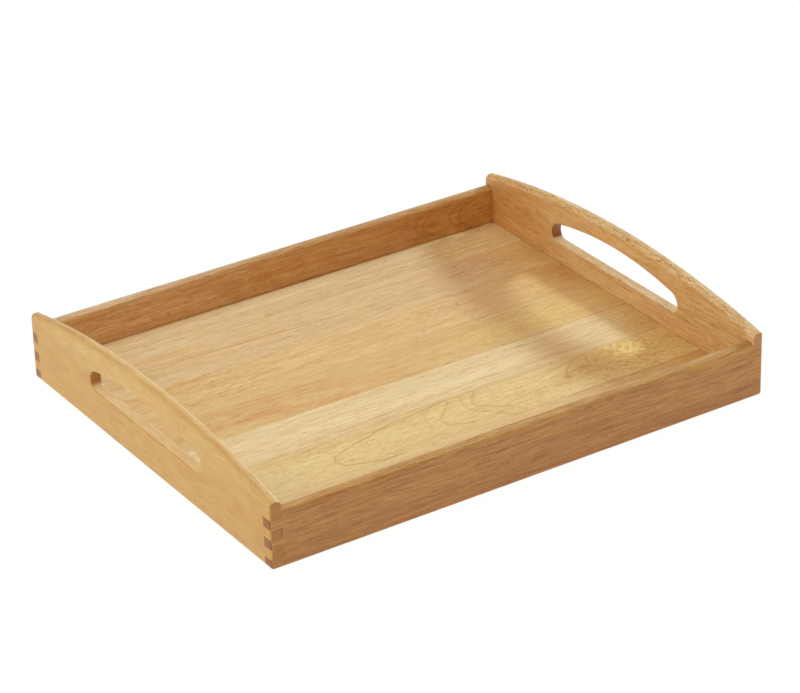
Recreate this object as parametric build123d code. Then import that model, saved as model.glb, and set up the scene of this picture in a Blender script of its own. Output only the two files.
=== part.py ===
from build123d import *
import os

# A wooden serving tray: four box-jointed wall boards around a floor of edge-glued staves.
# +X is the tray's length (right), +Y its width (back), +Z is up. The origin is the middle of the
# footprint, at the height of the surface that the tray stands on. Lengths are in millimetres.

# ---------------------------------------------------------------- driving dimensions

tray_length = 500.0  # outside, over both end boards
tray_width = 406.0  # outside, over both side boards
board = 11.0  # thickness of every wall board

side_height = 53.0  # top of the front and back boards
end_corner_height = 62.0  # top of an end board at its two ends
end_apex_height = 83.0  # top of an end board in the middle

outside_round = 3.0  # outside bottom edges and upright corners
end_top_round = 4.5  # both long edges of an end board's arched top
side_top_round = 4.0  # both long edges of a side board's top
slot_edge_round = 1.2  # both rims of a hand slot

finger_height = 9.2  # one finger of a corner joint
finger_pairs = 3  # side-board fingers at a corner; the end board fills the gaps between them

slot_half_width = 95.0
slot_floor_height = 36.2
slot_apex_height = 64.8
slot_side_height = 53.2  # where the slot's arched top would meet its upright ends
slot_low_corner = 7.5
slot_high_corner = 11.0

floor_top = 16.5
floor_bottom = 7.5
tongue_bottom = 10.0
tongue_top = 14.0
tongue_depth = 5.0
groove_clearance = 0.5  # room for the floor to swell, at the bottom of the grooves

stave_width = 55.0
first_seam = 144.5  # Y of the seam between the back stave and the next

splice_x = -33.0  # joint line of the back board's two lengths
splice_length = 9.0
splice_teeth = 3
splice_tip = 0.5

# ---------------------------------------------------------------- worked out from them

half_length = tray_length / 2
half_width = tray_width / 2
inner_x = half_length - board
inner_y = half_width - board
groove_depth = tongue_depth + groove_clearance
arch_rise = end_apex_height - end_corner_height
arch_radius = (half_width**2 + arch_rise**2) / (2 * arch_rise)
beyond = 20.0  # how far a cutting block runs past what it cuts


def block(x_low, x_high, y_low, y_high, z_low, z_high):
    """A rectangular block between two opposite corners."""
    box = Box(x_high - x_low, y_high - y_low, z_high - z_low)
    return Pos((x_low + x_high) / 2, (y_low + y_high) / 2, (z_low + z_high) / 2) * box


def outside():
    """The tray's outer form up to above the arches, with its bottom edges and upright corners rounded."""
    form = block(-half_length, half_length, -half_width, half_width, 0, end_apex_height + beyond)
    bottom_edges = form.edges().group_by(Axis.Z)[0]
    upright_edges = form.edges().filter_by(Axis.Z)
    return fillet(bottom_edges + upright_edges, outside_round)


def finger_level(index):
    """Lowest and highest Z of a side-board finger, counted from the bottom."""
    low = 2 * index * finger_height
    return low, low + finger_height


# ---------------------------------------------------------------- end boards


def arched_blank():
    """The right end board as a rounded strip bent round the arch's centre, before it is trimmed."""
    section_height = end_apex_height + beyond
    section = Pos(inner_x + board / 2, end_apex_height - section_height / 2) * Rectangle(board, section_height)
    section = fillet(section.vertices().group_by(Axis.Y)[-1], end_top_round)
    centre = (0, 0, end_apex_height - arch_radius)
    sweep_angle = 30.0
    upright = Plane.XZ * section
    start = upright.rotate(Axis(centre, (1, 0, 0)), -sweep_angle / 2)
    return revolve(start, Axis(centre, (1, 0, 0)), sweep_angle)


def hand_slot():
    """The hand slot as a cutter along X: flat floor, arched top, rounded corners."""
    low_left = (-slot_half_width, slot_floor_height)
    low_right = (slot_half_width, slot_floor_height)
    high_left = (-slot_half_width, slot_side_height)
    high_right = (slot_half_width, slot_side_height)
    rim = [
        Line(low_left, low_right),
        Line(low_right, high_right),
        ThreePointArc(high_right, (0, slot_apex_height), high_left),
        Line(high_left, low_left),
    ]
    face = make_face(rim)
    low_corners = face.vertices().group_by(Axis.Y)[0]
    face = fillet(low_corners, slot_low_corner)
    high_corners = [v for v in face.vertices() if abs(v.Y - slot_side_height) < 0.01]
    face = fillet(high_corners, slot_high_corner)
    return extrude(Plane.YZ.offset(inner_x - beyond) * face, board + 2 * beyond)


def right_end_board():
    room = block(inner_x, half_length, -half_width, half_width, 0, end_apex_height + 1)
    solid = arched_blank() & room
    solid -= hand_slot()
    rims = [
        edge
        for face in solid.faces().filter_by(Axis.X)
        for wire in face.inner_wires()
        for edge in wire.edges()
    ]
    solid = fillet(rims, slot_edge_round)
    for index in range(finger_pairs):
        low, high = finger_level(index)
        solid -= block(inner_x - 1, half_length + 1, inner_y, half_width + 1, low, high)
        solid -= block(inner_x - 1, half_length + 1, -half_width - 1, -inner_y, low, high)
    groove_end = inner_y + groove_depth
    solid -= block(inner_x - 1, inner_x + groove_depth, -groove_end, groove_end, tongue_bottom, tongue_top)
    return solid & outside()


# ---------------------------------------------------------------- side boards


def back_board():
    """The whole back board, with its fingers, its groove and its rounded top."""
    solid = block(-half_length, half_length, inner_y, half_width, 0, side_height)
    top_edges = solid.edges().filter_by(Axis.X).group_by(Axis.Z)[-1]
    solid = fillet(top_edges, side_top_round)
    gaps = [(finger_level(i)[1], finger_level(i + 1)[0]) for i in range(finger_pairs - 1)]
    gaps.append((finger_level(finger_pairs - 1)[1], side_height + 1))
    for low, high in gaps:
        solid -= block(inner_x, half_length + 1, inner_y - 1, half_width + 1, low, high)
        solid -= block(-half_length - 1, -inner_x, inner_y - 1, half_width + 1, low, high)
    solid -= block(-inner_x, inner_x, inner_y - 1, inner_y + groove_depth, tongue_bottom, tongue_top)
    return solid & outside()


def splice_cutter():
    """Everything left of the back board's finger joint: its teeth show on the top and bottom edges."""
    pitch = board / splice_teeth
    half_tip = splice_tip / 2
    outline = [(-half_length - beyond, inner_y - beyond), (splice_x, inner_y - beyond)]
    for tooth in range(splice_teeth):
        start = inner_y + tooth * pitch
        middle = start + pitch / 2
        outline += [(splice_x, start + half_tip), (splice_x + splice_length, middle - half_tip)]
        outline += [(splice_x + splice_length, middle + half_tip), (splice_x, start + pitch - half_tip)]
    outline += [(splice_x, half_width + beyond), (-half_length - beyond, half_width + beyond)]
    face = make_face(Polyline(*outline, close=True))
    return extrude(face, side_height + beyond)


# ---------------------------------------------------------------- floor


def seams():
    """Y of the floor's edges and seams, from back to front."""
    lines = [inner_y]
    line = first_seam
    while line > -inner_y:
        lines.append(line)
        line -= stave_width
    lines.append(-inner_y)
    return lines


def stave(y_back, y_front):
    """One stave, with a tongue at both ends and along any edge that meets a wall."""
    solid = block(-inner_x, inner_x, y_front, y_back, floor_bottom, floor_top)
    tongue_back = y_back + tongue_depth if y_back == inner_y else y_back
    tongue_front = y_front - tongue_depth if y_front == -inner_y else y_front
    tongue_end = inner_x + tongue_depth
    return solid + block(-tongue_end, tongue_end, tongue_front, tongue_back, tongue_bottom, tongue_top)


# ---------------------------------------------------------------- the pieces

right_end = right_end_board()
back = back_board()
left_of_splice = splice_cutter()

parts = {
    "left_end_board": mirror(right_end, about=Plane.YZ),
    "right_end_board": right_end,
    "front_side_board": mirror(back, about=Plane.XZ),
    "back_side_board_left": back & left_of_splice,
    "back_side_board_right": back - left_of_splice,
}
lines = seams()
for number, (y_back, y_front) in enumerate(zip(lines, lines[1:]), start=1):
    parts[f"floor_stave_{number}"] = stave(y_back, y_front)

os.makedirs("parts", exist_ok=True)
for name, solid in parts.items():
    export_step(solid, f"parts/{name}.step")
    print(f"{name}: {len(solid.solids())} solid, {solid.volume / 1000:.1f} cm3")
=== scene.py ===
"""The look of a wooden serving tray: finely shaped boards in place of the CAD ones, procedural wood,
a pale floor and soft studio light.

Lengths are in millimetres in the tray's own frame (+X to its right, +Y to its back, +Z up), and MM turns
them into Blender's metres. A board's grain runs along U, V crosses it over the board's face, and W goes
through its thickness.
"""

import math

import bmesh
import bpy
from mathutils import Matrix, Vector


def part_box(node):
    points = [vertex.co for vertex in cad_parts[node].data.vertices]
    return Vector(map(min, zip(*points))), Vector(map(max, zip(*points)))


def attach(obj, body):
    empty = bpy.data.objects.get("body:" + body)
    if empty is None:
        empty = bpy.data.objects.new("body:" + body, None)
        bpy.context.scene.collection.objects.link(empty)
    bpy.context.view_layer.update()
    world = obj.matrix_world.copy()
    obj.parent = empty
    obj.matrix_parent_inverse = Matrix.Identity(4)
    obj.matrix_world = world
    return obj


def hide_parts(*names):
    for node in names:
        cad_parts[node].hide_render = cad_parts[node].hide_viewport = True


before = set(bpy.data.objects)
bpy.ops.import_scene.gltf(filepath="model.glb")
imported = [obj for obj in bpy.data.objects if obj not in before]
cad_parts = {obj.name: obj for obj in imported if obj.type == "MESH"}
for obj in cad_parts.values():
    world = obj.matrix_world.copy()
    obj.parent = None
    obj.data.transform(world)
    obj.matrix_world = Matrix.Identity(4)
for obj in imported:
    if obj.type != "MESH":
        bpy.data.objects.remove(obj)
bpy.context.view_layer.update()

MM = 0.001

# ---------------------------------------------------------------- sizes, read from the frame


def span(node):
    """Lowest and highest corner of a CAD node, in millimetres."""
    low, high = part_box(node)
    return [Vector(round(c / MM, 2) for c in corner) for corner in (low, high)]


end_low, end_high = span("right_end_board")
_, front_high = span("front_side_board")
floor_low, floor_high = span("floor_stave_2")

half_length = end_high.x
half_width = end_high.y
board = end_high.x - end_low.x
side_height = front_high.z
end_apex_height = end_high.z
inner_x = half_length - board
inner_y = half_width - board
floor_bottom, floor_top = floor_low.z, floor_high.z
tongue_end = floor_high.x

# ---------------------------------------------------------------- sizes that a box doesn't tell

end_corner_height = 62.0
outside_round = 3.0
end_top_round = 4.5
side_top_round = 4.0
slot_edge_round = 1.2
eased_edge = 0.3  # every arris that isn't rounded
seam_edge = 0.12  # the floor staves' long edges

finger_height = 9.2
finger_pairs = 3

slot_half_width = 95.0
slot_floor_height = 36.2
slot_apex_height = 64.8
slot_side_height = 53.2
slot_low_corner = 7.5
slot_high_corner = 11.0

tongue_bottom = 10.0
tongue_top = 14.0
groove_clearance = 0.5
groove_depth = tongue_end - inner_x + groove_clearance

splice_x = -33.0
splice_length = 9.0
splice_teeth = 3
splice_tip = 0.5

beyond = 20.0  # how far a cutting block runs past what it cuts
sliver = 0.02  # points nearer to each other than this are one

# Angles, in degrees.
one_plane = 0.05  # faces that turn by less than this are one
arris_turn = 40.0  # edges that turn by more than this are eased
sharp_turn = 50.0  # edges that turn by more than this are shaded sharp

# ---------------------------------------------------------------- mesh tools


def arc(centre, radius, start, end, steps=8):
    """Points on an arc, from one angle to another in degrees."""
    angles = [math.radians(start + (end - start) * i / steps) for i in range(steps + 1)]
    return [(centre[0] + radius * math.cos(a), centre[1] + radius * math.sin(a)) for a in angles]


def loft(mesh, rings):
    """Adds a closed solid to a bmesh, through rings of points in millimetres."""
    loops = [[mesh.verts.new(Vector(p) * MM) for p in ring] for ring in rings]
    faces = [mesh.faces.new(loops[0]), mesh.faces.new(loops[-1])]
    for one, other in zip(loops, loops[1:]):
        for i, vertex in enumerate(one):
            after = (i + 1) % len(one)
            faces.append(mesh.faces.new((vertex, one[after], other[after], other[i])))
    bmesh.ops.recalc_face_normals(mesh, faces=faces)


def block(mesh, x_range, y_range, z_range):
    """Adds a rectangular block to a bmesh."""
    (x_low, x_high), (y_low, y_high) = x_range, y_range
    corners = [(x_low, y_low), (x_high, y_low), (x_high, y_high), (x_low, y_high)]
    loft(mesh, [[(x, y, z) for x, y in corners] for z in z_range])


def solid(name, build):
    """A new object whose mesh is made by build, a function that fills a bmesh."""
    made = bmesh.new()
    build(made)
    mesh = bpy.data.meshes.new(name)
    made.to_mesh(mesh)
    made.free()
    piece = bpy.data.objects.new(name, mesh)
    bpy.context.scene.collection.objects.link(piece)
    return piece


def apply_modifiers(piece):
    """Gives a piece the mesh that its modifiers make."""
    graph = bpy.context.evaluated_depsgraph_get()
    mesh = bpy.data.meshes.new_from_object(piece.evaluated_get(graph))
    piece.modifiers.clear()
    piece.data = mesh


def clean(piece):
    """Merges the points and drops the slivers that a cut leaves too close together to see."""
    made = bmesh.new()
    made.from_mesh(piece.data)
    bmesh.ops.remove_doubles(made, verts=made.verts, dist=sliver * MM)
    bmesh.ops.dissolve_degenerate(made, edges=made.edges, dist=sliver * MM)
    made.to_mesh(piece.data)
    made.free()


def merge_flat_faces(piece):
    """Makes one face of those that lie in one plane, so that an eased edge isn't cut by their borders."""
    made = bmesh.new()
    made.from_mesh(piece.data)
    bmesh.ops.dissolve_limit(made, angle_limit=math.radians(one_plane), verts=made.verts, edges=made.edges)
    made.to_mesh(piece.data)
    made.free()


def carve(piece, operation, build):
    """Cuts a piece with a solid, or keeps only what lies in it."""
    cutter = solid("cutter", build)
    modifier = piece.modifiers.new("carve", "BOOLEAN")
    modifier.operation = operation
    modifier.solver = "EXACT"
    modifier.object = cutter
    apply_modifiers(piece)
    bpy.data.objects.remove(cutter)
    clean(piece)


def ease(piece, width):
    """Takes the sharpness off every arris.

    It isn't clamped, because one narrow face would then shrink every eased edge of the piece.
    """
    bevel = piece.modifiers.new("ease", "BEVEL")
    bevel.width = width * MM
    bevel.segments = 2
    bevel.limit_method = "ANGLE"
    bevel.angle_limit = math.radians(arris_turn)
    bevel.use_clamp_overlap = False
    apply_modifiers(piece)
    flatten_faces(piece)


def flatten_faces(piece):
    """Shades a piece smoothly where it is round and flat where it is flat."""
    piece.data.shade_smooth()
    piece.data.set_sharp_from_angle(angle=math.radians(sharp_turn))
    weighted = piece.modifiers.new("flat faces", "WEIGHTED_NORMAL")
    weighted.keep_sharp = True
    apply_modifiers(piece)


def finger_level(index):
    """Lowest and highest Z of a side-board finger, counted from the bottom."""
    low = 2 * index * finger_height
    return low, low + finger_height


# ---------------------------------------------------------------- end boards

arch_rise = end_apex_height - end_corner_height
arch_radius = (half_width**2 + arch_rise**2) / (2 * arch_rise)
arch_centre_height = end_apex_height - arch_radius
arch_sections = 72


def end_board_body(mesh):
    """The right end board without its cuts: sections across it, whose top corners follow the arch.

    A section lies at each corner joint, so that no strip there is too narrow for its eased edge.
    """
    bottom = [(inner_x, 0), (half_length, 0)]
    outer = arc((half_length - end_top_round, arch_radius - end_top_round), end_top_round, 0, 90)
    inner = arc((inner_x + end_top_round, arch_radius - end_top_round), end_top_round, 90, 180)
    between_joints = [inner_y * (2 * i / arch_sections - 1) for i in range(arch_sections + 1)]
    rings = []
    for y in [-half_width, *between_joints, half_width]:
        ring = [(x, y, z) for x, z in bottom]
        ring += [(x, y, arch_centre_height + math.sqrt(r**2 - y**2)) for x, r in outer + inner]
        rings.append(ring)
    loft(mesh, rings)


def slot_outline(grow):
    """The hand slot's outline, moved outwards by grow, as points (y, z)."""
    rise = slot_apex_height - slot_side_height
    radius = (slot_half_width**2 + rise**2) / (2 * rise)
    centre_height = slot_apex_height - radius
    low_centre = (slot_half_width - slot_low_corner, slot_floor_height + slot_low_corner)
    high_y = slot_half_width - slot_high_corner
    high_z = centre_height + math.sqrt((radius - slot_high_corner) ** 2 - high_y**2)
    meeting = math.degrees(math.atan2(high_z - centre_height, high_y))
    half = arc(low_centre, slot_low_corner + grow, -90, 0, 12)
    half += arc((high_y, high_z), slot_high_corner + grow, 0, meeting, 10)
    half += arc((0, centre_height), radius + grow, meeting, 90, 24)[1:]
    return half + [(-y, z) for y, z in half[-2::-1]]


def hand_slot(mesh):
    """A cutter for the hand slot, flared at both faces so that it leaves rounded rims."""
    flare = arc((0, 0), slot_edge_round, 0, 90, 6)
    levels = [(inner_x - beyond, slot_edge_round)]
    levels += [(inner_x + slot_edge_round - d, slot_edge_round - s) for s, d in reversed(flare)]
    levels += [(half_length - slot_edge_round + d, slot_edge_round - s) for s, d in flare]
    levels += [(half_length + beyond, slot_edge_round)]
    loft(mesh, [[(x, y, z) for y, z in slot_outline(grow)] for x, grow in levels])


def end_board_gaps(mesh):
    """The room for the side boards' fingers, and the groove for the floor."""
    for index in range(finger_pairs):
        low, high = finger_level(index)
        if index == 0:
            low -= beyond
        for side in (-1, 1):
            y_range = sorted((side * inner_y, side * (half_width + beyond)))
            block(mesh, (inner_x - beyond, half_length + beyond), y_range, (low, high))
    groove_end = inner_y + groove_depth
    block(mesh, (inner_x - 1, inner_x + groove_depth), (-groove_end, groove_end), (tongue_bottom, tongue_top))


def mirror(piece, axis):
    """Mirrors a piece's mesh through the tray's middle."""
    flip = Matrix.Scale(-1, 4, axis)
    piece.data.transform(flip)
    piece.data.flip_normals()


def end_board(name, side):
    piece = solid(name, end_board_body)
    carve(piece, "DIFFERENCE", hand_slot)
    carve(piece, "DIFFERENCE", end_board_gaps)
    carve(piece, "INTERSECT", rounded_outside)
    if side < 0:
        mirror(piece, Vector((1, 0, 0)))
    ease(piece, eased_edge)
    return piece


# ---------------------------------------------------------------- side boards


def side_board_body(mesh):
    """The back board as a plain length with a rounded top."""
    profile = [(inner_y, 0), (half_width, 0)]
    top = side_height - side_top_round
    profile += arc((half_width - side_top_round, top), side_top_round, 0, 90)
    profile += arc((inner_y + side_top_round, top), side_top_round, 90, 180)
    loft(mesh, [[(x, y, z) for y, z in profile] for x in (-half_length, half_length)])


def side_board_gaps(mesh):
    """The room for the end boards' fingers and, above them, for the whole end board."""
    gaps = [(finger_level(i)[1], finger_level(i + 1)[0]) for i in range(finger_pairs - 1)]
    gaps.append((finger_level(finger_pairs - 1)[1], side_height + beyond))
    for low, high in gaps:
        for side in (-1, 1):
            x_range = sorted((side * inner_x, side * (half_length + beyond)))
            block(mesh, x_range, (inner_y - beyond, half_width + beyond), (low, high))


def side_board_groove(mesh):
    """The groove for the floor, run a little way into the gaps at its ends."""
    reach = inner_x + 1
    block(mesh, (-reach, reach), (inner_y - 1, inner_y + groove_depth), (tongue_bottom, tongue_top))


def rounded_outside(mesh):
    """The room within the tray's outline, whose bottom edges and upright corners are rounded."""
    rings = []
    for inset, height in arc((outside_round, outside_round), outside_round, 270, 180):
        corner = max(outside_round - inset, sliver / 2)  # never zero, so that every ring has as many points
        x, y = half_length - inset - corner, half_width - inset - corner
        ring = []
        for turn, (side_x, side_y) in enumerate(((1, 1), (-1, 1), (-1, -1), (1, -1))):
            turned = arc((side_x * x, side_y * y), corner, 90 * turn, 90 * turn + 90, 6)
            ring += [(px, py, height) for px, py in turned]
        rings.append(ring)
    rings.append([(px, py, end_apex_height + beyond) for px, py, _ in rings[-1]])
    loft(mesh, rings)


def left_of_splice(mesh):
    """All that lies left of the back board's finger joint, whose teeth show on top and underneath."""
    pitch = board / splice_teeth
    half_tip = splice_tip / 2
    outline = [(-half_length - beyond, inner_y - beyond), (splice_x, inner_y - beyond)]
    for tooth in range(splice_teeth):
        start = inner_y + tooth * pitch
        middle = start + pitch / 2
        outline += [(splice_x, start + half_tip), (splice_x + splice_length, middle - half_tip)]
        outline += [(splice_x + splice_length, middle + half_tip), (splice_x, start + pitch - half_tip)]
    outline += [(splice_x, half_width + beyond), (-half_length - beyond, half_width + beyond)]
    loft(mesh, [[(x, y, z) for x, y in outline] for z in (-beyond, side_height + beyond)])


def side_board(name, splice_operation=None, front=False):
    piece = solid(name, side_board_body)
    carve(piece, "DIFFERENCE", side_board_gaps)
    carve(piece, "DIFFERENCE", side_board_groove)
    carve(piece, "INTERSECT", rounded_outside)
    merge_flat_faces(piece)
    if front:
        mirror(piece, Vector((0, 1, 0)))
    ease(piece, eased_edge)
    if splice_operation:
        carve(piece, splice_operation, left_of_splice)
        flatten_faces(piece)
    return piece


# ---------------------------------------------------------------- floor staves


def stave(name):
    """A stave with a tongue at both ends, and along an edge that meets a wall."""
    low, high = span(name)

    def build(mesh):
        y_low = max(low.y, -inner_y)
        y_high = min(high.y, inner_y)
        profile = [(y_low, floor_bottom), (y_high, floor_bottom)]
        if high.y > inner_y:
            profile += [(y_high, tongue_bottom), (high.y, tongue_bottom)]
            profile += [(high.y, tongue_top), (y_high, tongue_top)]
        profile += [(y_high, floor_top), (y_low, floor_top)]
        if low.y < -inner_y:
            profile += [(y_low, tongue_top), (low.y, tongue_top)]
            profile += [(low.y, tongue_bottom), (y_low, tongue_bottom)]
        loft(mesh, [[(x, y, z) for y, z in profile] for x in (-tongue_end, tongue_end)])

    def end_rebates(mesh):
        y_range = (low.y - beyond, high.y + beyond)
        for side in (-1, 1):
            x_range = sorted((side * inner_x, side * (tongue_end + beyond)))
            block(mesh, x_range, y_range, (floor_bottom - beyond, tongue_bottom))
            block(mesh, x_range, y_range, (tongue_top, floor_top + beyond))

    piece = solid(name + "_wood", build)
    carve(piece, "DIFFERENCE", end_rebates)
    ease(piece, seam_edge)
    return piece


# ---------------------------------------------------------------- shader tools


def linear(colour):
    """A colour given as red, green and blue from 0 to 255, as the linear colour that a shader takes."""
    parts = [c / 255 for c in colour]
    return [p / 12.92 if p <= 0.04045 else ((p + 0.055) / 1.055) ** 2.4 for p in parts] + [1]


class Field:
    """A number that varies over a surface. Arithmetic on it adds Math nodes to its material."""

    def __init__(self, tree, socket):
        self.tree = tree
        self.socket = socket

    def math(self, operation, *others):
        node = self.tree.nodes.new("ShaderNodeMath")
        node.operation = operation
        for value, given in zip((self, *others), node.inputs):
            feed(self.tree, value, given)
        return Field(self.tree, node.outputs[0])

    def __add__(self, other):
        return self.math("ADD", other)

    def __sub__(self, other):
        return self.math("SUBTRACT", other)

    def __mul__(self, other):
        return self.math("MULTIPLY", other)

    def __truediv__(self, other):
        return self.math("DIVIDE", other)

    def __abs__(self):
        return self.math("ABSOLUTE")

    def ramp(self, low, high):
        """Rises smoothly from 0 at low to 1 at high. It falls instead where high is below low."""
        node = self.tree.nodes.new("ShaderNodeMapRange")
        node.interpolation_type = "SMOOTHSTEP"
        for value, given in zip((self, low, high), node.inputs):
            feed(self.tree, value, given)
        return Field(self.tree, node.outputs[0])


def feed(tree, value, given):
    """Sets a shader input to a number, or links a field to it."""
    if isinstance(value, Field):
        tree.links.new(value.socket, given)
    else:
        given.default_value = value


class Wood:
    """A satin-varnished board's material, painted layer by layer.

    axes names the tray axes that run along the grain, across it and through the board.
    offset shifts the noise, so that no two boards are alike.
    u and v are millimetres along and across the grain. end_grain, face_up and face_right tell how
    the surface lies: 1 where it crosses the grain, faces straight up or faces the tray's right.
    """

    def __init__(self, name, axes, offset):
        self.material = bpy.data.materials.new(name)
        self.material.use_nodes = True
        self.tree = self.material.node_tree
        self.tree.nodes.clear()
        self.offset = offset
        coordinates = self.tree.nodes.new("ShaderNodeTexCoord")
        metres = self.split(coordinates.outputs["Object"])
        normal = self.split(coordinates.outputs["Normal"])
        self.u, self.v, w = (metres[axis] * (1 / MM) for axis in axes)
        self.end_grain = abs(normal[axes[0]]).ramp(0.55, 0.85)
        self.face_up = normal["Z"]
        self.face_right = normal["X"]
        self.colour = None

        # The grain bends by some millimetres, and the listed marks wander a little.
        self.place = self.join(self.u, self.v, w)
        bend = self.noise(110, 45, detail=2, shift=77) - 0.5
        sway = self.noise(26, 11, detail=3, shift=91) - 0.5
        swell = self.noise(12, 7, detail=3, shift=57) - 0.5
        self.mark = self.join(self.u + swell * 4, self.v + sway * 2.4, 0)
        self.place = self.join(self.u, self.v + bend * 12 + sway * 1.2, w)

    def split(self, socket):
        node = self.tree.nodes.new("ShaderNodeSeparateXYZ")
        self.tree.links.new(socket, node.inputs[0])
        return {axis: Field(self.tree, node.outputs[axis]) for axis in "XYZ"}

    def join(self, *fields):
        node = self.tree.nodes.new("ShaderNodeCombineXYZ")
        for value, given in zip(fields, node.inputs):
            feed(self.tree, value, given)
        return Field(self.tree, node.outputs[0])

    def vector(self, operation, *values):
        """A vector sum on fields or plain vectors."""
        node = self.tree.nodes.new("ShaderNodeVectorMath")
        node.operation = operation
        for value, given in zip(values, node.inputs):
            feed(self.tree, value, given)
        return node

    def noise(self, along, across, detail=2, roughness=0.5, shift=0):
        """Noise from 0 to 1, whose features are about that many millimetres long and wide."""
        start = [self.offset + shift] * 3
        scaled = self.vector("MULTIPLY_ADD", self.place, (1 / along, 1 / across, 1 / across), start)
        node = self.tree.nodes.new("ShaderNodeTexNoise")
        node.inputs["Scale"].default_value = 1
        node.inputs["Detail"].default_value = detail
        node.inputs["Roughness"].default_value = roughness
        self.tree.links.new(scaled.outputs[0], node.inputs["Vector"])
        return Field(self.tree, node.outputs[0])

    def paint(self, tint, amount):
        """Multiplies the colour by a tint where amount is 1, and leaves it where amount is 0."""
        node = self.tree.nodes.new("ShaderNodeMix")
        node.data_type = "RGBA"
        node.blend_type = "MULTIPLY"
        feed(self.tree, amount, node.inputs[0])
        if isinstance(self.colour, list):
            node.inputs[6].default_value = self.colour
        else:
            self.tree.links.new(self.colour, node.inputs[6])
        node.inputs[7].default_value = [*tint, 1]
        self.colour = node.outputs[2]

    def spot(self, place, size, softness=1.0):
        """1 within an ellipse of half sizes, along and across the grain, fading to 0 at its edge."""
        scale = (1 / size[0], 1 / size[1], 0)
        start = (-place[0] / size[0], -place[1] / size[1], 0)
        scaled = self.vector("MULTIPLY_ADD", self.mark, scale, start)
        length = self.vector("LENGTH", Field(self.tree, scaled.outputs[0]))
        return Field(self.tree, length.outputs["Value"]).ramp(1, 1 - softness)

    def away_from(self, start, end):
        """Distance from a straight line between two points."""
        run, rise = end[0] - start[0], end[1] - start[1]
        squared = run**2 + rise**2
        offset = Field(self.tree, self.vector("SUBTRACT", self.mark, (*start, 0)).outputs[0])
        share = self.vector("DOT_PRODUCT", offset, (run / squared, rise / squared, 0))
        clamp = self.tree.nodes.new("ShaderNodeClamp")
        self.tree.links.new(share.outputs["Value"], clamp.inputs[0])
        nearest = self.vector("SCALE", (run, rise, 0))
        self.tree.links.new(clamp.outputs[0], nearest.inputs["Scale"])
        distance = self.vector("DISTANCE", offset, Field(self.tree, nearest.outputs[0]))
        return Field(self.tree, distance.outputs["Value"])

    def path(self, points, width):
        """1 along a line through some points, fading to 0 at half its width to either side."""
        distance = self.away_from(points[0], points[1])
        for one, other in zip(points[1:], points[2:]):
            distance = distance.math("MINIMUM", self.away_from(one, other))
        return distance.ramp(width / 2, 0)

    def stroke(self, start, end, width):
        return self.path((start, end), width)

    def ring(self, tip, bend, width, reach):
        """1 along a growth ring's curve, which opens from its tip along the grain."""
        place = self.split(self.mark.socket)
        across = place["Y"] - tip[1]
        off = abs(place["X"] - tip[0] - across * across * bend)
        slope = across * (2 * bend)
        distance = off / (slope * slope + 1).math("SQRT")
        return distance.ramp(width / 2, 0) * abs(across).ramp(reach, reach * 0.7)


# Tints: what a mark multiplies the board's colour by.
FIBRE = (0.84, 0.74, 0.60)
BRIGHT = (1.09, 1.12, 1.15)
PORE = (0.68, 0.53, 0.37)
HEART_AND_SHADE = (0.91, 0.83, 0.70)
PALE = (1.06, 1.10, 1.18)
BROWN = (0.78, 0.60, 0.41)
SPECK = (0.36, 0.26, 0.18)
SALMON = (0.97, 0.84, 0.76)
ORANGE = (0.99, 0.90, 0.80)
GOLD = (1.03, 1.04, 0.90)
ROSE = (1.0, 0.95, 0.98)
SHADE = (0.66, 0.55, 0.45)
LESS_YELLOW = (1.0, 1.0, 1.32)
STAVE_END_GRAIN = (0.6, 0.48, 0.36)
BACK_END_GRAIN = (0.50, 0.37, 0.08)


def grain(made, broad=0.6, streaks=0.5, fibres=1.0, pores=0.5, pore_length=6.0):
    """The grain that every board has, from broad bands of tone down to its pores."""
    bands = made.noise(260, 15, detail=3)
    made.paint(HEART_AND_SHADE, bands.ramp(0.45, 0.72) * broad)
    made.paint(PALE, bands.ramp(0.5, 0.28) * broad)
    hue = made.noise(70, 13, detail=3, shift=13)
    made.paint(ORANGE, hue.ramp(0.5, 0.68) * broad)
    made.paint(GOLD, hue.ramp(0.5, 0.32) * broad)
    lines = made.noise(140, 3.4, detail=3, roughness=0.65, shift=7)
    made.paint(FIBRE, lines.ramp(0.48, 0.72) * streaks)
    made.paint(BRIGHT, lines.ramp(0.46, 0.3) * streaks)
    fine = made.noise(18, 1.4, detail=4, roughness=0.75, shift=19)
    made.paint(FIBRE, fine.ramp(0.48, 0.68) * fibres)
    made.paint(BRIGHT, fine.ramp(0.48, 0.34) * fibres)
    crowd = made.noise(40, 9, detail=2, shift=31).ramp(0.42, 0.6)
    dashes = made.noise(pore_length, 1.0, detail=1, roughness=0.4, shift=43).ramp(0.58, 0.72)
    opened = dashes * (crowd * 0.8 + 0.2)
    made.paint(PORE, opened * pores)
    flecks = made.noise(14, 2.2, detail=3, roughness=0.6, shift=3).ramp(0.56, 0.68)
    made.paint(BROWN, flecks * crowd * 0.1)
    return fine, opened


def finish_wood(made, end_grain, fine, opened):
    """The end grain, and a satin varnish over the whole board."""
    dots = made.noise(1.0, 0.9, detail=2, shift=71).ramp(0.5, 0.7)
    made.paint(end_grain, made.end_grain)
    made.paint(BROWN, made.end_grain * dots * 0.7)
    nodes, links = made.tree.nodes, made.tree.links
    shader = nodes.new("ShaderNodeBsdfPrincipled")
    links.new(made.colour, shader.inputs["Base Color"])
    shader.inputs["Specular IOR Level"].default_value = 0.5
    feed(made.tree, opened * 0.12 + (fine * 0.12 + 0.33), shader.inputs["Roughness"])
    bump = nodes.new("ShaderNodeBump")
    bump.inputs["Strength"].default_value = 0.35
    bump.inputs["Distance"].default_value = 0.15 * MM
    feed(made.tree, opened * -1 + fine * 0.5, bump.inputs["Height"])
    links.new(bump.outputs[0], shader.inputs["Normal"])
    output = nodes.new("ShaderNodeOutputMaterial")
    links.new(shader.outputs[0], output.inputs[0])


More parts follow.
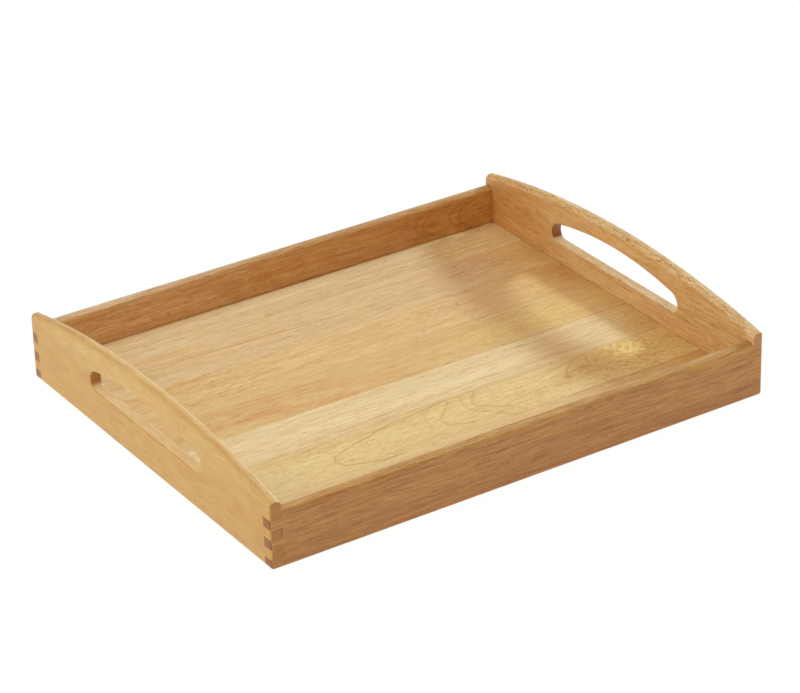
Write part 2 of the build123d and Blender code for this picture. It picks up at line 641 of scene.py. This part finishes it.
def wood(name, axes, offset, tone, marks, end_grain=STAVE_END_GRAIN, **amounts):
    """One board's material. marks is a function that paints what only that board has."""
    made = Wood(name, axes, offset)
    made.colour = linear(tone)
    fine, opened = grain(made, **amounts)
    marks(made)
    finish_wood(made, end_grain, fine, opened)
    return made.material


# ---------------------------------------------------------------- each board's own figure

# Marks are placed in millimetres along the grain and across it.

ALONG_X_FACING_Y = "XZY"
ALONG_X_FACING_Z = "XYZ"
ALONG_Y_FACING_X = "YZX"


def streak(made, tint, amount, height, start, end, width=2.2, fall=0.0):
    """A streak along the grain, which falls a little over its length."""
    made.paint(tint, made.stroke((start, height), (end, height - fall), width) * amount)


def smudges(made, along=9, across=2.0):
    """A field of short irregular smudges along the grain."""
    return made.noise(along, across, detail=3, roughness=0.6, shift=5).ramp(0.5, 0.62)


# What staves are multiplied by towards the right wall, where their tone changes; there the tints also retune
# the right wall's shadow, as painted light and shade.
RIGHT_OF_STAVE = {
    1: (1.10, 1.17, 1.16),
    2: (1.07, 1.08, 1.07),
    4: (1.04, 1.10, 1.19),
    5: (0.97, 0.94, 0.84),
    6: (1.06, 1.13, 1.17),
}


def stave_1_figure(made):
    streak(made, GOLD, 1.0, 176.3, -190, 60, 3)
    streak(made, BRIGHT, 0.9, 176.3, -185, 40, 2.2)
    streak(made, BRIGHT, 1.0, 165.6, 0, 150, 2.4)
    streak(made, BRIGHT, 0.7, 165.8, -185, -100, 2.2)
    streak(made, BRIGHT, 0.9, 147.6, 0, 120, 2.6)
    streak(made, BRIGHT, 0.6, 158.5, -150, 236, 2)
    dark_streaks = ((162, 20, 236), (155.5, -40, 236), (151.5, -120, 236), (169, -180, 0), (172, 60, 236))
    for height, start, end in dark_streaks:
        streak(made, FIBRE, 0.8, height, start, end)
    streak(made, BROWN, 0.5, 147, -85, -39, 1.8)
    streak(made, BROWN, 0.4, 148, -185, -140, 1.8)
    made.paint(SALMON, made.spot((-102, 155), (24, 4)) * 0.9)
    made.paint(ORANGE, made.spot((-170, 186), (50, 8)) * 0.9)
    made.paint(PALE, made.spot((132, 181), (34, 14), 0.8) * 0.7)
    made.paint(BROWN, made.spot((192, 179), (9, 4.5)) * 0.5)
    made.paint(RIGHT_OF_STAVE[1], made.u.ramp(152, 172))
    made.paint(BROWN, smudges(made) * made.spot((60, 150), (260, 30)) * 0.25)
    # Painted shade along the foot of the back wall: a darker band, and a dark line where the stave meets it.
    made.paint(HEART_AND_SHADE, made.v.ramp(inner_y - 5, inner_y - 1) * 0.7)
    made.paint(SHADE, made.v.ramp(inner_y - 2.5, inner_y) * 0.5)


def stave_2_figure(made):
    made.paint(ORANGE, made.spot((-160, 139), (60, 10), 0.7))
    curve = ((-190, 132), (-148, 125.5), (-92, 121), (20, 115))
    made.paint(FIBRE, made.path(curve, 2.6))
    made.paint(BRIGHT, made.path([(x, y - 2.6) for x, y in curve], 4.0))
    made.paint(PALE, made.spot((-95, 117), (30, 5)) * 0.6)
    streak(made, BRIGHT, 0.8, 126.3, 55, 100)
    streak(made, BROWN, 0.6, 122, -39, -20, 1.8)
    streak(made, BROWN, 0.7, 122, -14, 0, 1.8)
    streak(made, BROWN, 0.5, 102, 6, 17, 1.8)
    streak(made, BROWN, 0.45, 93, -95, -50, 1.8)
    made.paint(ROSE, made.spot((165, 130), (60, 20), 0.7))
    made.paint(BROWN, smudges(made, 6, 1.5) * made.spot((172, 122), (58, 26), 0.6) * 0.6)
    # Painted shade at the foot of the right wall.
    made.paint(HEART_AND_SHADE, made.spot((228, 116), (30, 22)) * 0.5)
    made.paint(RIGHT_OF_STAVE[2], made.u.ramp(150, 220))
    made.paint(BROWN, smudges(made) * 0.16)
    streak(made, BROWN, 0.4, 90.4, -60, 238, 1.6)


def stave_3_figure(made):
    made.paint(BROWN, smudges(made, 9, 1.5) * made.spot((-150, 62), (95, 40), 0.7) * 0.7)
    made.paint(BROWN, smudges(made, 10, 2.2) * 0.2)
    made.paint(ORANGE, made.spot((-165, 84), (45, 10)))
    made.paint(ORANGE, made.spot((-100, 78), (45, 6)))
    dashes = (
        (-103, 59.7, 22),
        (-128, 58, 16),
        (-172, 48, 22),
        (-59, 70.5, 16),
        (-83, 57, 10),
        (-150, 72, 14),
    )
    for x, y, length in dashes:
        streak(made, BROWN, 0.8, y - 1, x - length / 2, x + length / 2, 2.0, fall=-2)
    made.paint(PALE, made.spot((92, 62), (28, 22)) * 0.5)
    made.paint(GOLD, made.spot((-20, 50), (60, 16)) * 0.6)
    made.paint(BROWN, made.spot((138, 85), (13, 3.5)) * 0.5)
    made.paint(SPECK, made.spot((60.4, 44), (3.0, 2.0)) * 0.75)
    made.paint(SPECK, made.stroke((113, 68), (116, 73), 1.8) * 0.8)
    made.paint(SPECK, made.stroke((174, 90), (176.5, 94), 1.8) * 0.6)
    made.paint(SPECK, made.spot((190, 59), (3.0, 1.4)) * 0.6)
    for start, end in (((112, 84), (80, 62)), ((104, 82), (76, 58)), ((120, 83), (96, 68))):
        made.paint(BRIGHT, made.stroke(start, end, 2) * 0.5)
    made.paint(BROWN, made.stroke((-40, 35), (238, 35), 1.8) * 0.5)
    # Painted shade at the foot of the right wall.
    made.paint(HEART_AND_SHADE, made.spot((230, 60), (24, 34)) * 0.9)


def stave_4_figure(made):
    made.paint(SALMON, made.path(((-215, 2), (-140, -4), (-100, -10), (-55, -18)), 22))
    made.paint(SALMON, made.spot((-140, -1), (40, 10)))
    made.paint(SALMON, made.spot((-118, -4), (46, 8)) * 0.4)
    made.paint(ORANGE, made.path(((-210, 24), (-100, 14), (0, -8)), 26) * 0.9)
    made.paint(BROWN, smudges(made, 14, 1.8) * made.spot((-120, 4), (100, 32), 0.6) * 0.5)
    made.paint(BROWN, made.path(((-144, 24), (-110, 22), (-51, 18)), 2.4) * 0.6)
    made.paint(BROWN, made.path(((-186, 8), (-130, 6), (-70, 8)), 2.0) * 0.4)
    made.paint(BROWN, made.path(((-42, -3), (-22, -9), (-4, -15), (18, -18)), 2.4) * 0.6)
    made.paint(BROWN, made.stroke((-80, -17.5), (13, -18), 2.4) * 0.55)
    made.paint(BROWN, smudges(made, 4, 1.8) * made.spot((150, 8), (110, 28), 0.5) * 0.4)
    made.paint(GOLD, made.spot((150, 6), (110, 30), 0.5))
    made.paint(RIGHT_OF_STAVE[4], made.u.ramp(90, 150))
    made.paint(SPECK, made.spot((44.5, -19.6), (2.6, 1.2)) * 0.9)
    made.paint(BROWN, made.stroke((100, -20), (238, -20), 2.4) * 0.9)
    made.paint(BROWN, made.stroke((-200, -20.2), (100, -20.2), 1.6) * 0.4)


def stave_5_figure(made):
    made.paint(BRIGHT, made.path(((-215, -40), (-100, -52), (20, -54), (110, -50)), 20) * 0.9)
    made.paint(HEART_AND_SHADE, made.path(((-215, -27), (-80, -28), (60, -26)), 5) * 0.4)
    made.paint(HEART_AND_SHADE, made.path(((-140, -68), (10, -62), (80, -60), (180, -64)), 5) * 0.9)
    made.paint(BROWN, made.path(((-120, -69), (0, -66), (90, -67)), 1.8) * 0.35)
    made.paint(HEART_AND_SHADE, made.stroke((-220, -73), (230, -73), 6))
    made.paint(BROWN, made.stroke((-220, -75), (238, -75), 1.8) * 0.5)
    for x, y in ((-70, -30), (-124, -51), (72, -51)):
        made.paint(SPECK, made.spot((x, y), (2.4, 1.2)) * 0.8)
    made.paint(BROWN, smudges(made, 9, 1.6) * made.spot((120, -68), (60, 9)) * 0.9)
    made.paint(BROWN, made.spot((114, -30.5), (10, 4)) * 0.5)
    made.paint(BROWN, smudges(made, 7, 1.6) * made.spot((220, -55), (38, 30)) * 0.8)
    # Painted shade at the foot of the right wall.
    made.paint(HEART_AND_SHADE, made.spot((222, -62), (30, 16)))
    made.paint(RIGHT_OF_STAVE[5], made.u.ramp(205, 222))
    made.paint(HEART_AND_SHADE, made.spot((140, -50), (44, 40)) * 0.7)


def growth_ring(made, points, amount):
    """One growth ring, with a tan band on its inner side."""
    made.paint(BROWN, made.path(points, 2.8) * (amount * 0.95))
    made.paint(HEART_AND_SHADE, made.path([(x + 3, y) for x, y in points], 6) * (amount * 0.5))


def stave_6_figure(made):
    mottle = made.noise(5, 2.6, detail=3, roughness=0.65, shift=5)
    made.paint(FIBRE, mottle.ramp(0.5, 0.7) * 0.6)
    made.paint(BRIGHT, mottle.ramp(0.5, 0.3) * 0.5)
    growth_ring(
        made,
        (
            (6, -75), (-62, -81.7), (-89, -89.7), (-109, -94.8), (-127, -102),
            (-130.6, -110), (-127, -118), (-112, -124.5), (-97, -129.4), (-77, -130.3),
        ),
        0.75,
    )
    growth_ring(
        made,
        ((5, -75), (1, -82), (-10, -91), (-19, -100.5), (-20.7, -106), (-17, -112), (-7, -117), (3, -120)),
        0.7,
    )
    growth_ring(
        made,
        ((18, -75), (15.8, -80), (11.4, -92), (12.2, -100.6), (18.7, -109), (30, -119.4), (39, -130)),
        0.7,
    )
    growth_ring(made, ((33, -75), (21.4, -89), (20.7, -97.7), (31.6, -107.8), (47.5, -118), (51, -129)), 0.75)
    made.paint(BROWN, made.path(((-190, -83), (-146, -80.3), (-109, -75.5)), 2.2) * 0.5)
    made.paint(BROWN, made.path(((46.8, -76), (44, -89), (43.2, -99)), 2.4) * 0.45)
    made.paint(HEART_AND_SHADE, made.path(((-14, -76), (-24, -86), (-31, -96), (-33, -108)), 9) * 0.5)
    made.paint(SALMON, made.stroke((-115, -114), (-98, -126), 6) * 0.6)
    made.paint(SALMON, made.stroke((-50, -124), (-30, -120), 8) * 0.4)
    wave = ((49, -94), (78, -95.5), (101, -91), (121.4, -84), (150.4, -75.2))
    made.paint(BROWN, made.path([(x, y + 1.8) for x, y in wave], 2.0) * 0.45)
    made.paint(BRIGHT, made.path([(x, y - 0.6) for x, y in wave[:4]], 3.0))
    made.paint(PALE, made.spot((80, -84), (34, 8)) * 0.4)
    heart = made.spot((185, -100), (85, 42), 0.75)
    made.paint(HEART_AND_SHADE, heart)
    made.paint(GOLD, heart * 0.6)
    made.paint(RIGHT_OF_STAVE[6], made.u.ramp(155, 185))
    made.paint(BROWN, smudges(made, 5, 2.6) * heart * 0.5)
    made.paint(BROWN, made.spot((137, -95), (8, 5)) * 0.7)
    made.paint(BROWN, made.spot((114, -102), (7, 5)) * 0.8)
    made.paint(HEART_AND_SHADE, made.spot((128, -98), (30, 14)) * 0.8)
    arcs = (
        ((150, -75), (130, -82), (120, -93), (114, -104)),
        ((151, -79), (146, -87), (143, -98), (150, -108), (166, -121), (181, -130)),
        ((176, -106), (184, -113.6), (202.6, -127)),
        ((186, -102), (192.5, -108), (214, -122), (232, -130)),
        ((206, -76), (216, -83), (240, -100)),
        ((159, -95), (168, -91), (174, -86), (179.4, -76)),
        ((162, -100), (174, -112), (196, -130)),
        ((128, -100), (132, -110), (146, -122)),
        ((198, -94), (212, -107), (236, -120)),
    )
    for points in arcs:
        made.paint(BROWN, made.path(points, 2.8) * 0.6)
    rays = (
        ((191, -100.6), (207, -84.6)), ((182, -90.4), (194, -80.3)), ((192.5, -94.8), (202.6, -87.5)),
        ((174, -84), (184, -78)), ((198, -99), (210, -90)), ((186, -97), (198, -84)),
        ((176, -92), (188, -86)),
    )
    for start, end in rays:
        made.paint(BRIGHT, made.stroke(start, end, 1.8))
        made.paint(BRIGHT, made.stroke(start, end, 1.4))
    made.paint(BROWN, made.stroke((-120, -129.8), (100, -129.8), 1.8) * 0.35)
    made.paint(BROWN, made.stroke((100, -129.8), (238, -129.8), 2.6) * 0.8)


def last_staves_figure(made):
    made.paint(HEART_AND_SHADE, made.spot((190, -140), (150, 40), 0.8))
    made.paint(BROWN, made.stroke((90, -131.5), (238, -131.5), 3) * 0.5)
    made.paint(SALMON, made.spot((-60, -141), (150, 4)) * 0.4)


# What parts of the left end board are multiplied by, against its yellow outer face.
LEFT_HIGH = (1.08, 1.19, 1.55)
LEFT_ARCH_ROUND = (1.08, 1.28, 1.85)
LEFT_ARCH_TOP = (1.06, 1.12, 1.38)
LEFT_ARCH_BACK = (0.86, 0.77, 0.63)
LEFT_SLOT_FLOOR = (1.12, 1.24, 1.72)
LEFT_SLOT_END = (1.10, 1.28, 2.15)
LEFT_INSIDE = (1.05, 1.15, 2.0)

# And of the right end board, against its inner face.
RIGHT_TOWARDS_BACK = (0.94, 0.89, 0.82)
RIGHT_BACK_FINGERS = (1.20, 1.45, 1.8)
RIGHT_ARCH_ROUND = (1.03, 1.17, 1.28)
RIGHT_ARCH_TOP = (0.90, 0.92, 0.93)
RIGHT_SLOT_FLOOR = (0.91, 0.94, 0.98)
RIGHT_SLOT_END = (0.75, 0.49, 0.19)

# And of the side boards, against their faces.
FRONT_TOP = (0.89, 1.01, 1.28)
FRONT_TOP_ROUND = (1.10, 1.13, 1.10)
BACK_TOP = (0.75, 0.83, 0.91)
BACK_TOP_ROUND = (0.94, 0.99, 1.0)
BACK_RIGHT_PATCH = (1.05, 1.10, 0.93)


def left_end_figure(made):
    mottle = made.noise(24, 12, detail=3, shift=3)
    made.paint(SALMON, mottle.ramp(0.46, 0.66) * 0.5)
    made.paint(GOLD, mottle.ramp(0.5, 0.36) * 0.9)
    made.paint(PALE, made.noise(30, 10, detail=3, shift=83).ramp(0.52, 0.66) * 0.7)
    made.paint(ROSE, made.stroke((-86, 32), (88, 32), 12))
    made.paint(PALE, made.stroke((-86, 33), (88, 33), 6) * 0.5)
    made.paint(SPECK, made.spot((150, 16), (2.4, 0.9)) * 0.8)
    made.paint(HEART_AND_SHADE, made.spot((-190, 24), (26, 26)) * 0.6)
    arch = made.v.ramp(56, 58)
    rounding = made.face_up.ramp(0.15, 0.4) * made.face_up.ramp(0.98, 0.85)
    made.paint(LEFT_HIGH, made.v.ramp(36, 70) * made.face_up.ramp(0.4, 0.1))
    made.paint(LEFT_ARCH_ROUND, rounding * arch)
    made.paint(LEFT_ARCH_TOP, made.face_up.ramp(0.85, 0.98) * arch)
    made.paint(LEFT_ARCH_BACK, made.face_up.ramp(0.85, 0.98) * arch * made.u.ramp(70, 130))
    made.paint(LEFT_SLOT_FLOOR, made.face_up.ramp(0.3, 0.7) * made.v.ramp(50, 45))
    made.paint(LEFT_SLOT_END, made.end_grain * made.u.ramp(-150, -100))
    # A painted highlight: a light line along the ridge where the arch's rounding starts.
    made.paint(BRIGHT, made.face_up.ramp(0.02, 0.1) * made.face_up.ramp(0.3, 0.15) * arch * 0.5)
    made.paint(LESS_YELLOW, made.face_up.ramp(0.2, 0.9))
    made.paint(LEFT_INSIDE, made.face_right.ramp(0.7, 0.95))
    made.paint(FIBRE, made.noise(22, 1.6, detail=3, roughness=0.7, shift=9).ramp(0.5, 0.66) * 0.3)


def right_end_figure(made):
    made.paint(RIGHT_TOWARDS_BACK, made.u.ramp(90, 150) * made.face_up.ramp(0.3, 0.1))
    made.paint(RIGHT_BACK_FINGERS, made.end_grain * made.u.ramp(150, 190))
    slant = made.path(((-97, 45.7), (-150, 48.6), (-192, 51)), 1.8)
    made.paint(BROWN, slant * 0.9)
    made.paint(SPECK, made.spot((170, 43), (2.2, 1.7)) * 0.9)
    made.paint(SHADE, made.v.ramp(floor_top + 1.6, floor_top) * 0.6)
    made.paint(HEART_AND_SHADE, made.spot((120, 30), (60, 26)) * 0.7)
    made.paint(HEART_AND_SHADE, made.spot((-185, 25), (20, 26)) * 0.6)
    made.paint(HEART_AND_SHADE, made.stroke((-190, 70), (190, 30), 9) * 0.3)
    made.paint(FIBRE, made.noise(20, 1.7, detail=3, roughness=0.7, shift=9).ramp(0.47, 0.6) * 0.8)
    made.paint(HEART_AND_SHADE, made.u.ramp(40, 190) * 0.8)
    made.paint(ORANGE, made.u.ramp(90, 190) * 0.8)
    made.paint(PALE, made.u.ramp(-60, -190) * made.v.ramp(50, 62) * 0.8)
    arch = made.face_up.ramp(0.08, 0.3) * made.v.ramp(56, 58)
    pits = made.noise(3.6, 1.7, detail=2, roughness=0.5, shift=3).ramp(0.56, 0.64)
    made.paint(RIGHT_ARCH_ROUND, arch * made.face_up.ramp(0.95, 0.75))
    made.paint(RIGHT_ARCH_TOP, arch * made.face_up.ramp(0.75, 0.95))
    made.paint(RIGHT_SLOT_FLOOR, made.face_up.ramp(0.3, 0.7) * made.v.ramp(50, 45))
    made.paint(RIGHT_SLOT_END, made.end_grain * made.u.ramp(-150, -100))
    made.paint(PALE, made.spot((0, 24), (120, 12), 0.7) * 0.8)
    made.paint(PORE, pits * arch * 0.9)


def front_figure(made):
    dark_streaks = ((47, -235, -90), (45, -60, 120), (42, 90, 230), (38, -200, 20), (30, -40, 200))
    for height, start, end in dark_streaks:
        made.paint(BROWN, made.stroke((start, height), (end, height - 1), 2.2) * 0.6)
    made.paint(FIBRE, made.noise(30, 1.8, detail=3, roughness=0.7, shift=9).ramp(0.48, 0.58))
    made.paint(BRIGHT, made.noise(24, 1.7, detail=3, roughness=0.7, shift=29).ramp(0.5, 0.62))
    made.paint(FRONT_TOP, made.face_up.ramp(0.15, 0.7))
    made.paint(FRONT_TOP_ROUND, made.face_up.ramp(0.15, 0.5) * made.face_up.ramp(0.95, 0.8))
    # Painted shade, darker towards the foot where the board stands on the floor.
    made.paint(HEART_AND_SHADE, made.v.ramp(26, 6) * 0.8)
    made.paint(PALE, made.v.ramp(44, 52) * 0.35)
    made.paint(SPECK, made.spot((-40, 47), (5, 0.8)) * 0.5)
    made.paint(SPECK, made.spot((-130, 46), (4, 0.8)) * 0.5)
    swirl = made.ring((-226, 28), 0.3, 1.6, 5) + made.ring((-220, 28), 0.35, 1.6, 5)
    made.paint(BROWN, swirl * 0.5)
    # Painted shade: a dark band along the very foot.
    made.paint(HEART_AND_SHADE, made.stroke((-240, 3), (240, 3), 6) * 0.8)
    made.paint(BROWN, made.stroke((-120, 6), (120, 4), 2) * 0.4)
    made.paint(PALE, made.stroke((-240, 26), (240, 30), 20) * 0.25)


def back_board_shade(made):
    """What both lengths of the back board have: painted shade at its foot, a darker and greyer top, and fine
    lines.
    """
    made.paint(SHADE, made.v.ramp(floor_top + 3.5, floor_top) * 0.55)
    # Painted shade, fading out upwards from the foot.
    made.paint(HEART_AND_SHADE, made.v.ramp(floor_top + 13, floor_top + 3) * 0.4)
    made.paint(BACK_TOP_ROUND, made.face_up.ramp(0.3, 0.6) * made.face_up.ramp(0.95, 0.8))
    made.paint(BACK_TOP, made.face_up.ramp(0.8, 0.95))
    made.paint(FIBRE, made.noise(24, 1.8, detail=3, roughness=0.7, shift=9).ramp(0.46, 0.58) * 0.8)
    made.paint(BRIGHT, made.noise(20, 1.7, detail=3, roughness=0.7, shift=29).ramp(0.5, 0.62))


def back_left_figure(made):
    back_board_shade(made)
    made.paint(HEART_AND_SHADE, made.u.ramp(-150, -30) * 0.8)
    made.paint(HEART_AND_SHADE, made.spot((-48, 30), (22, 16)))
    for height, start, end in ((46, -210, -60), (41, -160, -40), (35, -220, -120), (28, -120, -36)):
        made.paint(BROWN, made.stroke((start, height), (end, height - 1), 1.8) * 0.55)


def back_right_figure(made):
    back_board_shade(made)
    made.paint(PALE, made.u.ramp(40, -33) * 0.5)
    # Painted shade, deepening towards the right wall.
    made.paint(HEART_AND_SHADE, made.u.ramp(0, 220) * 0.45)
    made.paint(BACK_RIGHT_PATCH, made.u.ramp(140, 170))
    for tip, bend in (((150, 36), 0.10), ((159, 34), 0.09), ((190, 34), 0.09), ((200, 33), 0.08)):
        made.paint(FIBRE, made.ring(tip, bend, 5.0, 16) * 0.9)
    made.paint(HEART_AND_SHADE, made.spot((170, 34), (12, 9)) * 0.9)
    made.paint(HEART_AND_SHADE, made.spot((208, 33), (10, 8)) * 0.9)
    for x in (-22, -16, -10):
        made.paint(BRIGHT, made.path(((x, 22), (x + 5, 34), (x, 48)), 2.6) * 0.6)
    for height, start, end in ((47, 0, 120), (40, 40, 150), (33, -20, 100), (25, 60, 220), (45, 120, 235)):
        made.paint(BROWN, made.stroke((start, height), (end, height - 1), 1.8) * 0.55)


# ---------------------------------------------------------------- the pieces


def show(piece, node, material):
    """Stands a finished piece in for a CAD node."""
    piece.data.materials.clear()
    piece.data.materials.append(material)
    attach(piece, "root")
    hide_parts(node)


show(
    end_board("left_end_wood", -1),
    "left_end_board",
    wood(
        "left_end",
        ALONG_Y_FACING_X,
        11,
        (201, 159, 80),
        left_end_figure,
        broad=0.3,
        streaks=0.2,
        fibres=0.7,
        pores=0.3,
        end_grain=(0.77, 0.56, 0.38),
    ),
)
show(
    end_board("right_end_wood", 1),
    "right_end_board",
    wood(
        "right_end",
        ALONG_Y_FACING_X,
        23,
        (226, 191, 141),
        right_end_figure,
        end_grain=(0.77, 0.55, 0.30),
        pores=0.9,
        pore_length=4.0,
    ),
)
show(
    side_board("front_wood", front=True),
    "front_side_board",
    wood(
        "front",
        ALONG_X_FACING_Y,
        37,
        (192, 137, 67),
        front_figure,
        end_grain=(0.60, 0.49, 0.125),
        streaks=0.9,
        pores=0.6,
    ),
)
show(
    side_board("back_left_wood", "INTERSECT"),
    "back_side_board_left",
    wood("back_left", ALONG_X_FACING_Y, 41, (224, 179, 132), back_left_figure, BACK_END_GRAIN, pores=0.9),
)
show(
    side_board("back_right_wood", "DIFFERENCE"),
    "back_side_board_right",
    wood("back_right", ALONG_X_FACING_Y, 53, (212, 159, 102), back_right_figure, BACK_END_GRAIN, pores=0.9),
)

staves = (
    ((215, 186, 141), stave_1_figure),
    ((211, 177, 127), stave_2_figure),
    ((213, 175, 118), stave_3_figure),
    ((210, 173, 114), stave_4_figure),
    ((219, 191, 143), stave_5_figure),
    ((217, 186, 127), stave_6_figure),
    ((212, 178, 123), last_staves_figure),
    ((212, 178, 123), last_staves_figure),
)
for number, (tone, figure) in enumerate(staves, start=1):
    node = f"floor_stave_{number}"
    offset = 60 + 7.3 * number
    streaks = 0.2 if figure is stave_6_figure else 0.5  # stave 6 has growth rings in place of streaks
    material = wood(f"stave_{number}", ALONG_X_FACING_Z, offset, tone, figure, broad=0.4, streaks=streaks)
    show(stave(node), node, material)

# ---------------------------------------------------------------- floor, light and camera


def pale_floor():
    """A wide pale floor at the surface that the tray stands on."""
    reach = 12000

    def build(mesh):
        corners = [(-reach, -reach, 0), (reach, -reach, 0), (reach, reach, 0), (-reach, reach, 0)]
        mesh.faces.new([mesh.verts.new(Vector(c) * MM) for c in corners])

    floor = solid("pale_floor", build)
    material = bpy.data.materials.new("pale_floor")
    material.use_nodes = True
    shader = material.node_tree.nodes["Principled BSDF"]
    shader.inputs["Base Color"].default_value = (0.03, 0.03, 0.03, 1)
    shader.inputs["Roughness"].default_value = 0.9
    shader.inputs["Specular IOR Level"].default_value = 0
    shader.inputs["Emission Color"].default_value = (1, 1, 0.99, 1)
    shader.inputs["Emission Strength"].default_value = 0.98
    floor.data.materials.append(material)


def direction(azimuth, elevation):
    """From the tray towards a place around it. Azimuth 0 is the front and 90 the right, as in the views."""
    a, e = math.radians(azimuth), math.radians(elevation)
    return Vector((math.sin(a) * math.cos(e), -math.cos(a) * math.cos(e), math.sin(e)))


def aim(light, azimuth, elevation, distance=0):
    """Puts a light out in a direction, facing the tray."""
    lamp = bpy.data.objects.new(light.name, light)
    away = direction(azimuth, elevation)
    lamp.location = away * distance * MM
    lamp.rotation_mode = "QUATERNION"
    lamp.rotation_quaternion = away.to_track_quat("Z", "Y")
    bpy.context.scene.collection.objects.link(lamp)
    return lamp


def sun(name, azimuth, elevation, strength, colour, width, shines_past=()):
    """A distant light, which the pieces named in shines_past don't block."""
    light = bpy.data.lights.new(name, "SUN")
    light.energy = strength
    light.color = colour
    light.angle = math.radians(width)
    lamp = aim(light, azimuth, elevation)
    unblocking = bpy.data.collections.new(name + " shines past")
    for piece in shines_past:
        unblocking.objects.link(bpy.data.objects[piece])
    for entry in unblocking.collection_objects:
        entry.light_linking.link_state = "EXCLUDE"
    lamp.light_linking.blocker_collection = unblocking


def softbox(name, azimuth, elevation, distance, size, power, colour=(1, 1, 1)):
    light = bpy.data.lights.new(name, "AREA")
    light.shape = "SQUARE"
    light.size = size * MM
    light.energy = power
    light.color = colour
    aim(light, azimuth, elevation, distance)


def studio_light():
    world = bpy.data.worlds.new("studio")
    world.use_nodes = True
    world.node_tree.nodes["Background"].inputs[0].default_value = (1, 0.92, 0.8, 1)
    world.node_tree.nodes["Background"].inputs[1].default_value = 0.44
    bpy.context.scene.world = world
    sun("key", 101, 26.5, 3.7, (0.54, 0.78, 1), 9, ("back_left_wood", "back_right_wood"))
    softbox("overhead", 0, 90, 2500, 2500, 16, (1, 0.84, 0.64))
    softbox("left_fill", -90, 30, 2500, 1800, 22, (1, 0.85, 0.68))
    softbox("back_right_glow", 147, 28, 3000, 2400, 8, (1, 0.95, 0.9))


def camera():
    """A long lens, high to the front left, rolled a little."""
    azimuth, elevation, roll = -32.574, 27.887, -1.684
    distance = 2905.4
    aimed_at = Vector((8.93, 3.32, 34.36))
    lens = bpy.data.cameras.new("camera")
    lens.sensor_width = 36
    lens.lens = 148.74
    lens.clip_start = 0.05
    lens.clip_end = 100
    away = direction(azimuth, elevation)
    right = Vector((0, 0, 1)).cross(away).normalized()
    up = away.cross(right)
    c, s = math.cos(math.radians(roll)), math.sin(math.radians(roll))
    turned = Matrix((c * right + s * up, c * up - s * right, away)).transposed()
    made = bpy.data.objects.new("camera", lens)
    made.matrix_world = Matrix.Translation((aimed_at + away * distance) * MM) @ turned.to_4x4()
    bpy.context.scene.collection.objects.link(made)
    bpy.context.scene.camera = made


pale_floor()
studio_light()
camera()
bpy.context.scene.view_settings.view_transform = "Standard"
